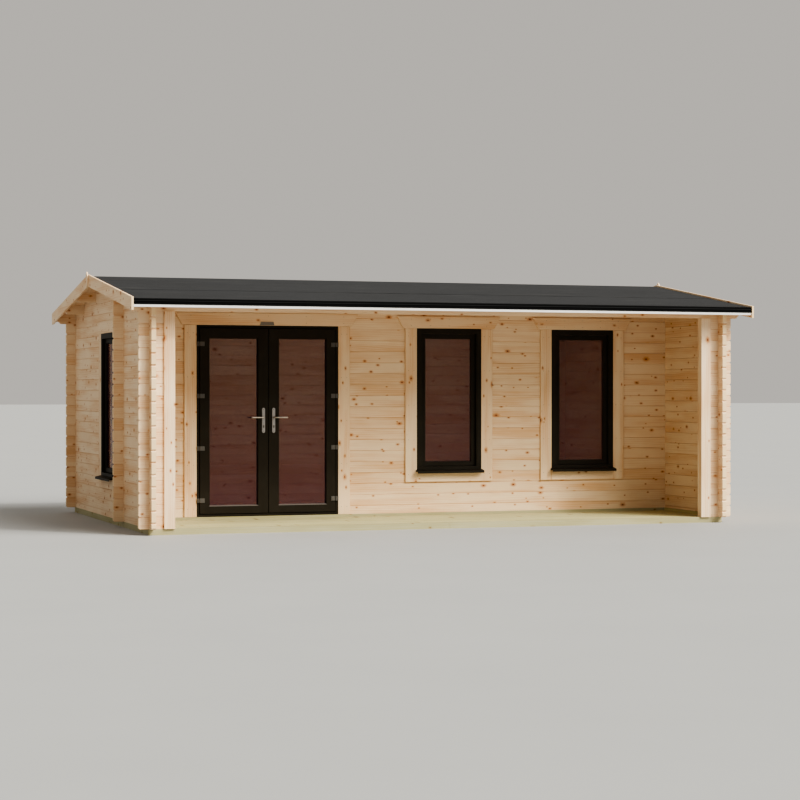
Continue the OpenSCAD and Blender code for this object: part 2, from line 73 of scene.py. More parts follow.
class Wire:
    # one output of a node, ready for sums
    def __init__(self, net, socket):
        self.net = net
        self.socket = socket

    def output(self, name):
        # another output of the same node
        return Wire(self.net, self.socket.node.outputs[name])

    def maths(self, operation, *values):
        return self.net.node("ShaderNodeMath", {"operation": operation}, dict(enumerate(values)))

    def __add__(self, other):
        return self.maths("ADD", self, other)

    def __radd__(self, other):
        return self.maths("ADD", other, self)

    def __sub__(self, other):
        return self.maths("SUBTRACT", self, other)

    def __rsub__(self, other):
        return self.maths("SUBTRACT", other, self)

    def __mul__(self, other):
        return self.maths("MULTIPLY", self, other)

    def __rmul__(self, other):
        return self.maths("MULTIPLY", other, self)

    def __truediv__(self, other):
        return self.maths("DIVIDE", self, other)

    def __rtruediv__(self, other):
        return self.maths("DIVIDE", other, self)

    def __pow__(self, other):
        return self.maths("POWER", self, other)

    def __rpow__(self, other):
        return self.maths("POWER", other, self)

    def __abs__(self):
        return self.maths("ABSOLUTE", self)

    def floor(self):
        return self.maths("FLOOR", self)

    def sine(self):
        return self.maths("SINE", self)

    def atLeast(self, low):
        return self.maths("MAXIMUM", self, low)

    def between(self, low, high):
        # 0 below low, 1 above high, smooth in between
        settings = {"interpolation_type": "SMOOTHSTEP", "clamp": True}
        sockets = {"Value": self, "From Min": low, "From Max": high}
        return self.net.node("ShaderNodeMapRange", settings, sockets)


class Net:
    # a material's node tree with one shader
    def __init__(self, name):
        self.material = bpy.data.materials.new(name)
        self.material.use_nodes = True
        self.tree = self.material.node_tree
        self.shader = self.tree.nodes["Principled BSDF"]

    def node(self, kind, settings, sockets, output=0):
        made = self.tree.nodes.new(kind)
        for name, value in settings.items():
            setattr(made, name, value)
        for name, value in sockets.items():
            if isinstance(value, Wire):
                self.tree.links.new(value.socket, made.inputs[name])
            else:
                made.inputs[name].default_value = value
        return Wire(self, made.outputs[output])

    def mix(self, share, first, second):
        settings = {"data_type": "RGBA", "clamp_factor": True}
        return self.node("ShaderNodeMix", settings, {0: share, 6: first, 7: second}, 2)

    def noise(self, place, scale, detail=3.0, rough=0.5):
        sockets = {"Vector": place, "Scale": scale, "Detail": detail, "Roughness": rough}
        return self.node("ShaderNodeTexNoise", {}, sockets)

    def vector(self, x, y, z):
        return self.node("ShaderNodeCombineXYZ", {}, {0: x, 1: y, 2: z})

    def parts(self, place):
        split = self.node("ShaderNodeSeparateXYZ", {}, {0: place})
        return [split.output(axis) for axis in "XYZ"]

    def objectPlace(self, output="Object"):
        return self.node("ShaderNodeTexCoord", {}, {}, output)

    def feed(self, **inputs):
        names = {"colour": "Base Color", "rough": "Roughness", "metal": "Metallic", "alpha": "Alpha",
                 "normal": "Normal", "shine": "Specular IOR Level"}
        for name, value in inputs.items():
            socket = self.shader.inputs[names[name]]
            if isinstance(value, Wire):
                self.tree.links.new(value.socket, socket)
            else:
                socket.default_value = value
        return self.material

    def bump(self, height, strength, distance):
        sockets = {"Height": height, "Strength": strength, "Distance": distance}
        return self.node("ShaderNodeBump", {}, sockets)


pineTones = dict(
    pale=srgb(237, 215, 184),
    honey=srgb(220, 177, 132),
    streak=srgb(202, 145, 90),
    knotEdge=srgb(178, 98, 36),
    knotHeart=srgb(104, 50, 22),
    endGrain=srgb(236, 212, 172),
    rough=0.62,
)

treatedTones = dict(
    pale=srgb(190, 185, 146),
    honey=srgb(172, 165, 120),
    streak=srgb(160, 150, 100),
    knotEdge=srgb(150, 116, 64),
    knotHeart=srgb(78, 56, 32),
    endGrain=srgb(190, 182, 136),
    rough=0.72,
)

baseTones = dict(treatedTones, pale=srgb(176, 170, 138), honey=srgb(160, 152, 114))

knots = dict(
    large=dict(perMetre=4.2, size=9.5 * mm, share=0.6),
    small=dict(perMetre=9.0, size=5.5 * mm, share=0.5),
)


def timber(name, tones, grain="X", course=0.0, foot=0.0, knotShare=1.0, seed=0.0):
    # grain: the axis that the fibres follow, or "own" for boards that carry their own grain attribute
    # course, foot: height of a log and of the first joint, so that each log differs
    net = Net(name)
    if grain == "own":
        own = net.node("ShaderNodeAttribute", {"attribute_name": "grain"}, {}, "Vector")
        along, up, deep = net.parts(own)
        row = net.node("ShaderNodeAttribute", {"attribute_name": "board"}, {}, "Fac")
    else:
        x, y, z = net.parts(net.objectPlace())
        along, up, deep = {"X": (x, z, y), "Y": (y, z, x), "Z": (z, x, y)}[grain]
        row = ((up - foot) / course).floor() if course else up * 0.0
    roll = {"W": row * 1.37 + seed + 0.5}
    shift = net.node("ShaderNodeTexWhiteNoise", {"noise_dimensions": "1D"}, roll, "Color")
    shiftA, shiftB, tone = net.parts(shift)
    along = along + shiftA * 9.0 + seed
    level = up + shiftB * 3.0

    # knots: cells with one knot in some of them
    wobble = net.noise(net.vector(along * 9.0, level * 30.0, deep * 30.0), 1.0, 2.0)
    flat = net.vector(along * 0.62, level + wobble * 0.012, 0.0)
    cores, halos = [], []
    for kind in knots.values():
        near = net.node("ShaderNodeTexVoronoi", {"voronoi_dimensions": "2D"},
                        {"Vector": flat, "Scale": kind["perMetre"]}, "Distance")
        pick, sizeRoll = net.parts(near.output("Color"))[:2]
        share = kind["share"] * knotShare
        present = 1.0 - pick.between(share - 0.01, share + 0.01)
        reach = near / kind["perMetre"] / (kind["size"] * (0.45 + 0.55 * sizeRoll))
        cores.append((1.0 - reach.between(0.55, 1.05)) * present)
        halos.append((1.0 - reach.between(0.8, 4.2)) * present)
    knotCore = cores[0].atLeast(cores[1])
    knotHalo = halos[0].atLeast(halos[1])

    # growth lines, pushed aside by the knots
    drift = net.noise(net.vector(along * 0.55, level * 5.0, deep * 5.0), 1.0, 2.0)
    lines = ((level * 330.0 + deep * 130.0 + drift * 34.0 + knotHalo * 9.0).sine() * 0.5 + 0.5) ** 2.0
    fibre = net.noise(net.vector(along * 5.0, level * 420.0, deep * 420.0), 1.0, 3.0, 0.6)
    patch = net.noise(net.vector(along * 1.1, level * 9.0, deep * 9.0), 1.0, 3.0)
    warm = patch.between(0.40, 0.75) * 0.62 + tone * 0.20 + knotHalo * 0.6
    colour = net.mix(warm, tones["pale"], tones["honey"])
    colour = net.mix(lines * 0.26 * patch.between(0.3, 0.6), colour, tones["streak"])
    colour = net.mix(fibre.between(0.52, 0.78) * 0.20, colour, tones["streak"])
    colour = net.mix(knotHalo ** 3.0 * 0.55, colour, tones["knotEdge"])
    heart = net.mix(knotCore ** 2.0, tones["knotEdge"], tones["knotHeart"])
    colour = net.mix(knotCore * 0.92, colour, heart)

    # sawn ends show rings instead
    if grain != "own":
        facing = net.parts(net.objectPlace("Normal"))["XYZ".index(grain)]
        isEnd = abs(facing).between(0.75, 0.9)
        level0 = (up - foot) - row * course if course else up
        fromHeart = (level0 * level0 * 60.0 + deep * deep * 60.0) ** 0.5
        rings = (fromHeart * 190.0 + wobble * 2.0).sine() * 0.5 + 0.5
        sawn = net.mix(rings * 0.2, tones["endGrain"], tones["streak"])
        colour = net.mix(isEnd, colour, sawn)
        if course:
            # painted shade in the grooves between the logs: faint on the long faces, strongest at the sawn
            # ends
            fromJoint = abs(level0 / course - 0.5)
            grooveShade = fromJoint.between(0.5 - 6 * mm / course, 0.5 - 2 * mm / course)
            colour = net.mix(grooveShade * (0.14 + isEnd * 0.75), colour, tones["knotEdge"])

    dirt = net.noise(net.objectPlace(), 3.0, 4.0)
    colour = net.mix(dirt.between(0.35, 0.8) * 0.12, colour, tones["streak"])
    rough = tones["rough"] + fibre * 0.16 - knotCore * 0.2
    height = fibre * 0.6 + lines * 0.4 + knotCore * 0.5
    return net.feed(colour=colour, rough=rough, normal=net.bump(height, 0.35, 0.6 * mm))


def roofFelt():
    net = Net("mineralFelt")
    place = net.objectPlace()
    x, y, z = net.parts(place)
    grit = net.noise(place, 900.0, 2.0, 0.7)
    blotch = net.noise(net.vector(x * 0.5, y * 2.6, z), 1.0, 5.0, 0.6)
    colour = net.mix(grit.between(0.35, 0.7), srgb(30, 31, 33), srgb(58, 59, 61))
    colour = net.mix(blotch.between(0.35, 0.75) * 0.45, colour, srgb(32, 32, 34))
    wear = net.noise(net.vector(x * 1.6, y * 17.0, z), 1.0, 3.0, 0.55)
    colour = net.mix(wear.between(0.56, 0.74) * 0.3, colour, srgb(84, 83, 80))
    return net.feed(colour=colour, rough=0.86 + grit * 0.1, normal=net.bump(grit, 0.5, 0.8 * mm))


def foiledPlastic(name, base, edge, rough, grainDepth):
    # black foil on a plastic profile, with a faint embossed grain and a few smears
    net = Net(name)
    place = net.objectPlace()
    x, y, z = net.parts(place)
    emboss = net.noise(net.vector(x * 400.0, y * 400.0, z * 30.0), 1.0, 2.0)
    smear = net.noise(place, 5.0, 4.0, 0.6)
    colour = net.mix(smear.between(0.4, 0.75) * 0.5, base, edge)
    return net.feed(
        colour=colour,
        rough=rough + emboss * 0.12 + smear * 0.1,
        shine=0.12,
        normal=net.bump(emboss, 0.25, grainDepth))


def paintedTrim(name, base, dull, rough):
    net = Net(name)
    place = net.objectPlace()
    x, y, z = net.parts(place)
    streak = net.noise(net.vector(x * 0.8, y * 40.0, z * 40.0), 1.0, 3.0)
    grime = net.noise(place, 9.0, 5.0, 0.65)
    colour = net.mix(grime.between(0.45, 0.8) * 0.3 + streak * 0.1, base, dull)
    return net.feed(colour=colour, rough=rough + streak * 0.12, normal=net.bump(streak, 0.1, 0.3 * mm))


def brushedSteel(name, bright, dark, rough, metal=1.0):
    net = Net(name)
    x, y, z = net.parts(net.objectPlace())
    brush = net.noise(net.vector(x * 60.0, y * 900.0, z * 900.0), 1.0, 3.0, 0.6)
    smudge = net.noise(net.objectPlace(), 40.0, 3.0)
    colour = net.mix(brush * 0.5 + smudge * 0.2, bright, dark)
    return net.feed(colour=colour, metal=metal, rough=rough + brush * 0.12 + smudge * 0.08,
                    normal=net.bump(brush, 0.08, 0.2 * mm))


def tintedGlass():
    net = Net("bronzeGlass")
    film = net.noise(net.objectPlace(), 3.0, 4.0, 0.6)
    return net.feed(
        colour=net.mix(film, srgb(66, 37, 56), srgb(72, 42, 60)),
        rough=0.03 + film * 0.04,
        shine=0.1,
        alpha=0.58)


def rubber():
    net = Net("gasketRubber")
    speck = net.noise(net.objectPlace(), 300.0, 2.0)
    return net.feed(colour=net.mix(speck, srgb(18, 18, 18), srgb(34, 33, 32)), rough=0.6 + speck * 0.2)


logH = 114 * mm  # height of one course of logs
jointZ = box("front_eave_beam")[4] - 18 * logH  # lowest joint of the long walls
finishes = dict(
    longLogs=timber("logsAlongRidge", pineTones, "X", logH, jointZ),
    sideLogs=timber("logsAcross", pineTones, "Y", logH, jointZ - logH / 2, seed=3.1),
    beams=timber("beamsAlongRidge", pineTones, "X", seed=5.7),
    slopeBoards=timber("bargeboardPine", pineTones, "Y", seed=8.2),
    posts=timber("uprightPine", pineTones, "Z", knotShare=0.7, seed=11.9),
    boards=timber("boardPine", pineTones, "own", knotShare=0.8),
    treatedLong=timber("treatedAlong", baseTones, "X", seed=2.3, knotShare=0.7),
    treatedSide=timber("treatedAcross", baseTones, "Y", seed=6.4, knotShare=0.7),
    treatedBoards=timber("treatedBoards", treatedTones, "own", knotShare=0.7),
    felt=roofFelt(),
    blackDrip=foiledPlastic("blackDripEdge", srgb(9, 9, 9), srgb(17, 17, 18), 0.42, 0.1 * mm),
    blackFrame=foiledPlastic("blackFoil", srgb(50, 45, 37), srgb(60, 55, 47), 0.42, 0.15 * mm),
    whiteTrim=paintedTrim("whiteTrim", srgb(226, 224, 222), srgb(198, 194, 188), 0.35),
    greyPlate=paintedTrim("greyPlate", srgb(128, 124, 116), srgb(104, 100, 94), 0.5),
    steel=brushedSteel("satinSteel", srgb(206, 200, 194), srgb(150, 144, 138), 0.28),
    plateSteel=brushedSteel("plateSteel", srgb(172, 168, 165), srgb(128, 124, 121), 0.4),
    darkMetal=brushedSteel("hingeMetal", srgb(104, 101, 96), srgb(80, 77, 72), 0.42, 0.2),
    glass=tintedGlass(),
    rubber=rubber(),
)
print("finishes made:", len(finishes))


def dress(names, finish):
    for name in names:
        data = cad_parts[name].data
        data.materials.clear()
        data.materials.append(finishes[finish])


dress(["porch_wall_left", "porch_wall_middle", "porch_wall_right", "porch_wall_end", "porch_wall_top",
       "porch_wall_below_windows", "rear_wall", "left_stub_wall", "right_stub_wall"], "longLogs")
dress(["left_wall_front", "left_wall_rear", "left_wall_below_window", "left_wall_gable",
       "right_wall"], "sideLogs")
dress(["front_eave_beam", "rear_eave_beam", "front_purlins", "rear_purlins"], "beams")
dress(["left_bargeboards", "right_bargeboards"], "slopeBoards")
dress(["left_post", "right_post", "apex_covers"], "posts")
dress(["front_base_beam", "rear_base_beam", "porch_skirting", "door_sill"], "treatedLong")
dress(["side_base_beams", "floor_joists"], "treatedSide")
dress(["roof_felt"], "felt")
dress(["front_eave_trim", "rear_eave_trim"], "whiteTrim")
dress(["left_door_glass", "right_door_glass", "window_glass"], "glass")
dress(["door_head_plate"], "greyPlate")
# the pieces modelled below cover these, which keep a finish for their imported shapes
dress(["porch_floor"], "treatedLong")
dress(["room_floor", "door_trim", "window_trims", "front_roof_boards", "rear_roof_boards"], "beams")
dress(["door_frame", "left_door_leaf", "right_door_leaf", "left_porch_window", "right_porch_window",
       "side_window"], "blackFrame")
dress(["left_door_fittings", "right_door_fittings", "left_door_lever", "right_door_lever"], "steel")
print("packed parts finished")


def piece(name, bm, finish, body, replaced=()):
    # a finished bmesh becomes an object that rides on a body of the cabin
    data = bpy.data.meshes.new(name)
    bm.to_mesh(data)
    bm.free()
    data.materials.append(finishes[finish])
    made = bpy.data.objects.new(name, data)
    bpy.context.scene.collection.objects.link(made)
    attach(made, body)
    if replaced:
        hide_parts(*replaced)
    return made


def easeEdges(bm, width, segments=1, sharpest=0.5):
    # rounds the edges whose faces meet at more than the given angle, in radians
    chosen = [e for e in bm.edges if len(e.link_faces) == 2 and e.calc_face_angle() > sharpest]
    bmesh.ops.bevel(bm, geom=chosen, offset=width, segments=segments, profile=0.5, affect="EDGES",
                    material=-1, clamp_overlap=True)


def block(x0, x1, y0, y1, z0, z1):
    part = bmesh.new()
    bmesh.ops.create_cube(part, size=1.0)
    bmesh.ops.scale(part, vec=(x1 - x0, y1 - y0, z1 - z0), verts=part.verts)
    bmesh.ops.translate(part, vec=((x0 + x1) / 2, (y0 + y1) / 2, (z0 + z1) / 2), verts=part.verts)
    return part


def vertsOf(grown):
    return [g for g in grown if isinstance(g, bmesh.types.BMVert)]


def facesOf(grown):
    return [g for g in grown if isinstance(g, bmesh.types.BMFace)]


def addMesh(bm, part):
    holder = bpy.data.meshes.new("holder")
    part.to_mesh(holder)
    part.free()
    bm.from_mesh(holder)
    bpy.data.meshes.remove(holder)


def sweepX(bm, section, x0, x1, ease=0.0):
    # a closed section in Y and Z, drawn out from x0 to x1
    part = bmesh.new()
    face = part.faces.new([part.verts.new((x0, y, z)) for y, z in section])
    grown = bmesh.ops.extrude_face_region(part, geom=[face])["geom"]
    bmesh.ops.translate(part, vec=(x1 - x0, 0, 0), verts=vertsOf(grown))
    bmesh.ops.recalc_face_normals(part, faces=part.faces)
    if ease:
        easeEdges(part, ease, 2, 0.4)
    addMesh(bm, part)


class Boards:
    # many boards in one mesh, where each board carries its own grain and number
    def __init__(self, seed):
        self.bm = bmesh.new()
        self.grain = self.bm.verts.layers.float_vector.new("grain")
        self.number = self.bm.verts.layers.float.new("board")
        self.random = random.Random(seed)
        self.count = 0

    def add(self, x0, x1, y0, y1, z0, z1, along, ease=1.5 * mm, shape=None):
        part = block(x0, x1, y0, y1, z0, z1)
        if shape:
            shape(part)
        easeEdges(part, ease)
        start = len(self.bm.verts)
        addMesh(self.bm, part)
        self.bm.verts.ensure_lookup_table()
        offset = self.random.uniform(0, 40)
        self.count += 1
        a, b, c = {"X": (0, 2, 1), "Y": (1, 0, 2), "Z": (2, 0, 1)}[along]
        for vert in self.bm.verts[start:]:
            vert[self.grain] = Vector((vert.co[a] + offset, vert.co[b] + offset / 7, vert.co[c]))
            vert[self.number] = self.count

    def finish(self, name, finish, slot, replaced=()):
        bmesh.ops.recalc_face_normals(self.bm, faces=self.bm.faces)
        return piece(name, self.bm, finish, cabin, replaced)


roof = dict(
    boardWidth=96 * mm,
    boardJoint=1.2 * mm,
    boardEase=3 * mm,
    sheets=((0.0, 0.42), (0.30, 1.32)),  # from and to, in metres out from the ridge
    sheetThick=1.2 * mm,
    sheetRipples=40,
    dripLap=45 * mm,
    dripOut=2.5 * mm,
    dripBead=2.2 * mm,
    dripDrop=7 * mm,  # how far it hangs below the felt
)


def slopeShear(rise):
    # leans a level board down both ways from the ridge, and keeps its ends plumb
    def shape(bm):
        for vert in bm.verts:
            vert.co.z -= abs(vert.co.y) * rise
    return shape


def roofLines():
    # the slope's rise, and the heights of the boards and the felt at the ridge
    x0, x1, y0, y1, z0, z1 = box("front_roof_boards")
    under, top = levelsAt("front_roof_boards", y1)
    underEave = levelsAt("front_roof_boards", y0)[0]
    return x0, x1, -y0, (under - underEave) / -y0, under, top


def makeRoofBoards():
    x0, x1, run, rise, under, top = roofLines()
    for side, name in ((-1, "front"), (1, "rear")):
        boards = Boards(21 + side)
        count = round((x1 - x0) / roof["boardWidth"])
        step = (x1 - x0) / count
        near, far = sorted((side * roof["boardJoint"], side * run))
        for i in range(count):
            boards.add(x0 + i * step, x0 + (i + 1) * step - roof["boardJoint"], near, far, under, top, "Y",
                       roof["boardEase"], slopeShear(rise))
        boards.finish(name + "RoofBoards", "boards", "pine_logs", [name + "_roof_boards"])


def makeFeltSheets():
    # upper lengths of felt, each lapping over the one below it, and a cap along the ridge
    x0, x1, run, rise = roofLines()[:4]
    low = levelsAt("roof_felt", 0.0)[-1] + 0.4 * mm
    edge = 1 * mm
    bm = bmesh.new()
    for side in (-1, 1):
        for near, far in roof["sheets"]:
            part = bmesh.new()
            bmesh.ops.create_cube(part, size=1.0)
            bmesh.ops.scale(part, vec=(x1 - x0 - 2 * edge, far - near, roof["sheetThick"]), verts=part.verts)
            bmesh.ops.translate(part, vec=(0, side * (near + far) / 2, low + roof["sheetThick"] / 2),
                                verts=part.verts)
            alongRidge = [e for e in part.edges if abs(e.verts[0].co.x - e.verts[1].co.x) > 1]
            bmesh.ops.subdivide_edges(part, edges=alongRidge, cuts=roof["sheetRipples"], use_grid_fill=True)
            rng = random.Random(7 + side + int(far * 100))
            for vert in part.verts:
                vert.co.z -= abs(vert.co.y) * rise
                if abs(abs(vert.co.y) - far) < 1e-4:
                    vert.co.z += rng.uniform(0.0, 0.3) * mm
                    vert.co.y += side * rng.uniform(-1.5, 1.5) * mm
            addMesh(bm, part)
    bmesh.ops.recalc_face_normals(bm, faces=bm.faces)
    piece("feltSheets", bm, "felt", cabin)


def makeDripEdges():
    # black edging over the turned-down felt, with a rounded bead along its middle
    x0, x1, run, rise = roofLines()[:4]
    y0, y1, z0 = box("roof_felt")[2:5]
    eaveTop = levelsAt("roof_felt", y0)[-1]
    lap, bead = roof["dripLap"], roof["dripBead"]
    middle = (z0 + eaveTop) / 2
    low = z0 - roof["dripDrop"]
    face, back = y1 + roof["dripOut"], y1 + 0.2 * mm
    section = [(y1 - lap, eaveTop + lap * rise + 0.5 * mm), (y1 - lap, eaveTop + lap * rise + 2 * mm),
               (face - 2 * mm, eaveTop + 2 * mm), (face, eaveTop), (face, middle + 3 * bead)]
    for k in range(1, 6):
        turn = math.pi * k / 6
        section.append((face + bead * math.sin(turn), middle + 2 * bead * math.cos(turn)))
    section += [(face, middle - 3 * bead), (face, low + 1 * mm), (face - 1.5 * mm, low), (back, low),
                (back, eaveTop + 0.5 * mm)]
    for side, name in ((-1, "front"), (1, "rear")):
        bm = bmesh.new()
        sweepX(bm, [(side * y, z) for y, z in section], x0 + 1 * mm, x1 - 1 * mm)
        piece(name + "DripEdge", bm, "blackDrip", cabin)


makeRoofBoards()
makeFeltSheets()
makeDripEdges()
print("roof covered")


floors = dict(
    deckWidth=140 * mm,
    deckGap=3 * mm,
    deckEase=2.5 * mm,
    roomWidth=95 * mm,
    roomGap=0.8 * mm,
    roomEase=1.2 * mm,
    wallGap=6 * mm,
)


def rows(start, end, width):
    count = max(1, round((end - start) / width))
    step = (end - start) / count
    return [(start + i * step, start + (i + 1) * step) for i in range(count)]


def makeDeck():
    # a filling board between the posts, then long boards butted somewhere near the middle
    x0, x1, y0, y1, z0, z1 = box("porch_floor")
    beam = box("front_base_beam")
    inner = box("side_base_beams")[1] - (beam[3] - beam[2])
    postIn, postBack = box("left_post")[1], box("left_post")[3]
    gap = 1 * mm
    boards = Boards(5)
    boards.add(postIn + gap, -postIn - gap, y0, postBack + gap, z0, z1, "X", 0.5 * mm)
    for near, far in rows(postBack + gap, y1 - gap, floors["deckWidth"]):
        joint = boards.random.uniform(-1.6, 1.6)
        for a, b in ((-inner, joint - gap), (joint + gap, inner)):
            boards.add(a, b, near, far - floors["deckGap"], z0, z1, "X", floors["deckEase"])
    boards.finish("porchBoards", "treatedBoards", "treated_timber", ["porch_floor"])


def makeRoomFloor():
    x0, x1, y0, y1, z0, z1 = box("room_floor")
    sill = box("door_sill")
    boards = Boards(9)
    gap = floors["wallGap"]
    for near, far in rows(max(y0, sill[3]) + gap / 3, y1 - gap, floors["roomWidth"]):
        joint = boards.random.uniform(-1.8, 1.8)
        for a, b in ((x0 + gap, joint), (joint + floors["roomGap"], x1 - gap)):
            boards.add(a, b, near, far - floors["roomGap"], z0, z1, "X", floors["roomEase"])
    boards.finish("roomBoards", "boards", "pine_logs", ["room_floor"])


makeDeck()
makeRoomFloor()
print("floors laid")


trim = dict(
    width=127 * mm,
    thick=20 * mm,
    headLow=22 * mm,
    headHigh=92 * mm,
    foot=105 * mm,
    ease=2.5 * mm,
    gap=0.5 * mm,
    nail=3.2 * mm,
    nailRows=5,
    nailApart=60 * mm,
    nailInset=0.08,  # from the ends of the side boards
    nailOver=0.06,  # past the sides of the opening, on the head board
    sillLip=14 * mm,
    sillOver=12 * mm,
)


def onPorchWall(x, z):
    return Matrix.Translation((x, box("porch_wall_middle")[2], z))


def onLeftWall(y, z):
    return Matrix.Translation((box("left_wall_front")[0], y, z)) @ Matrix.Rotation(-math.pi / 2, 4, "Z")


def slantEnds(width, height):
    # a head board's ends lean outwards
    def shape(bm):
        middle = width / 2
        for vert in bm.verts:
            side = 1 if vert.co.x > middle else -1
            low = vert.co.z < height + trim["width"] / 2
            reach = trim["headLow"] if low else trim["headHigh"]
            vert.co.x = middle + side * (middle + trim["width"] + reach)
    return shape


def surround(boards, width, height, foot):
    w, t, gap = trim["width"], trim["thick"], trim["gap"]
    boards.add(-w, 0, -t, 0, -foot, height, "Z", trim["ease"])
    boards.add(width, width + w, -t, 0, -foot, height, "Z", trim["ease"])
    boards.add(-w, width + w, -t, 0, height + gap, height + gap + w, "X", trim["ease"],
               slantEnds(width, height))
    if foot:
        boards.add(gap, width - gap, -t, 0, -foot, 0, "X", trim["ease"])


def nailHeads(bm, places, size):
    for place in places:
        turn = Matrix.Translation(place) @ Matrix.Rotation(math.pi / 2, 4, "X")
        bmesh.ops.create_cone(bm, cap_ends=True, segments=10, radius1=size, radius2=size * 0.7,
                              depth=0.8 * mm, matrix=turn)


def trimNails(width, height, foot):
    # pairs of nails up both side boards and along the head board
    w, face, count = trim["width"], -trim["thick"], trim["nailRows"]
    half, inset, over = trim["nailApart"] / 2, trim["nailInset"], trim["nailOver"]
    places = []
    for x in (-w / 2, width + w / 2):
        for k in range(count):
            z = -foot + inset + k * (height + foot - 2 * inset) / (count - 1)
            places += [(x - half, face, z), (x + half, face, z)]
    for k in range(count):
        x = -over + k * (width + 2 * over) / (count - 1)
        places += [(x, face, height + half), (x, face, height + w - half)]
    return places


def openings():
    # place, width, height and foot of the doorway and of the three windows
    x0, x1, y0, y1, z0, z1 = box("door_frame")
    found = [("door", onPorchWall(x0, z0), x1 - x0, z1 - z0, 0.0)]
    over, lip, foot = trim["sillOver"], trim["sillLip"], trim["foot"]
    for name in ("left_porch_window", "right_porch_window"):
        x0, x1, y0, y1, z0, z1 = box(name)
        found.append((name, onPorchWall(x0 + over, z0 + lip), x1 - x0 - 2 * over, z1 - z0 - lip, foot))
    x0, x1, y0, y1, z0, z1 = box("side_window")
    found.append(("side_window", onLeftWall(y1 - over, z0 + lip), y1 - y0 - 2 * over, z1 - z0 - lip, foot))
    return found


def makeTrims():
    nails = bmesh.new()
    for group, replaced in (("door", "door_trim"), ("window", "window_trims")):
        boards = Boards(31 + len(group))
        for name, place, width, height, foot in openings():
            if (name == "door") != (group == "door"):
                continue
            start = len(boards.bm.verts)
            surround(boards, width, height, foot)
            boards.bm.verts.ensure_lookup_table()
            bmesh.ops.transform(boards.bm, matrix=place, verts=boards.bm.verts[start:])
            start = len(nails.verts)
            nailHeads(nails, trimNails(width, height, foot), trim["nail"])
            nails.verts.ensure_lookup_table()
            bmesh.ops.transform(nails, matrix=place, verts=nails.verts[start:])
        boards.finish(group + "Surrounds", "boards", "planed_pine", [replaced])
    piece("trimNails", nails, "darkMetal", cabin)


makeTrims()
print("trim boards fixed")


profile = dict(
    ease=2.5 * mm,
    windowDepth=64 * mm,
    windowOut=20 * mm,
    windowBar=55 * mm,
    sashIn=103 * mm,
    sashBack=32 * mm,
    sillOut=62 * mm,
    sillBack=22 * mm,
    sillFront=8 * mm,
    sillSheet=4 * mm,
    bead=3.5 * mm,
    beadDeep=1.5 * mm,
    gasket=1.5 * mm,
    paneIn=12 * mm,
    paneThick=20 * mm,
)


def ring(bm, outer, inner, y0, y1, ease, slope=0.0):
    # a mitred frame between two rectangles in X and Z, from y0 back to y1
    # slope pushes the inner front edge back, as on a glazing bead
    (ox0, ox1, oz0, oz1), (ix0, ix1, iz0, iz1) = outer, inner
    part = bmesh.new()
    corners = [part.verts.new((x, y0, z)) for x, z in ((ox0, oz0), (ox1, oz0), (ox1, oz1), (ox0, oz1))]
    face = part.faces.new(corners)
    bmesh.ops.inset_region(part, faces=[face], thickness=min(ox1 - ox0, oz1 - oz0) / 4, use_boundary=True,
                           use_even_offset=True)
    for vert in face.verts:
        vert.co.x = ix0 if vert.co.x < (ox0 + ox1) / 2 else ix1
        vert.co.z = iz0 if vert.co.z < (oz0 + oz1) / 2 else iz1
    bmesh.ops.delete(part, geom=[face], context="FACES")
    grown = bmesh.ops.extrude_face_region(part, geom=part.faces[:])["geom"]
    bmesh.ops.translate(part, vec=(0, y1 - y0, 0), verts=vertsOf(grown))
    if slope:
        for vert in part.verts:
            inside = ix0 - 1e-5 < vert.co.x < ix1 + 1e-5 and iz0 - 1e-5 < vert.co.z < iz1 + 1e-5
            if inside and abs(vert.co.y - y0) < 1e-6:
                vert.co.y += slope
    bmesh.ops.recalc_face_normals(part, faces=part.faces)
    if ease:
        easeEdges(part, ease, 2, 0.35)
    addMesh(bm, part)


def shrink(rect, by):
    return rect[0] + by, rect[1] - by, rect[2] + by, rect[3] - by


def glazing(beads, gaskets, opening, face, glassFront, glassBack, back):
    # sloped beads and rubber lips around a pane, outside and inside
    for y, glass in ((face, glassFront), (back, glassBack)):
        toGlass = glass - y
        lip = math.copysign(profile["gasket"], toGlass)
        outside = y + math.copysign(profile["beadDeep"], toGlass)
        ring(beads, opening, shrink(opening, profile["bead"]), outside, glass - lip * 0.4, 0.0,
             (glass - lip - outside) * 0.75)
        ring(gaskets, shrink(opening, profile["bead"] - 1 * mm),
             shrink(opening, profile["bead"] + profile["gasket"]), glass - lip, glass, 0.0)


def windowSill(bm, width):
    nose = -profile["windowOut"] - profile["sillOut"]
    lip = -trim["sillLip"]
    points = [(-profile["windowOut"], 0), (-profile["windowOut"], profile["sillBack"]),
              (nose, profile["sillFront"]), (nose, lip), (nose + profile["sillSheet"], lip),
              (nose + profile["sillSheet"], 0)]
    sweepX(bm, points, -trim["sillOver"], width + trim["sillOver"], 1.2 * mm)


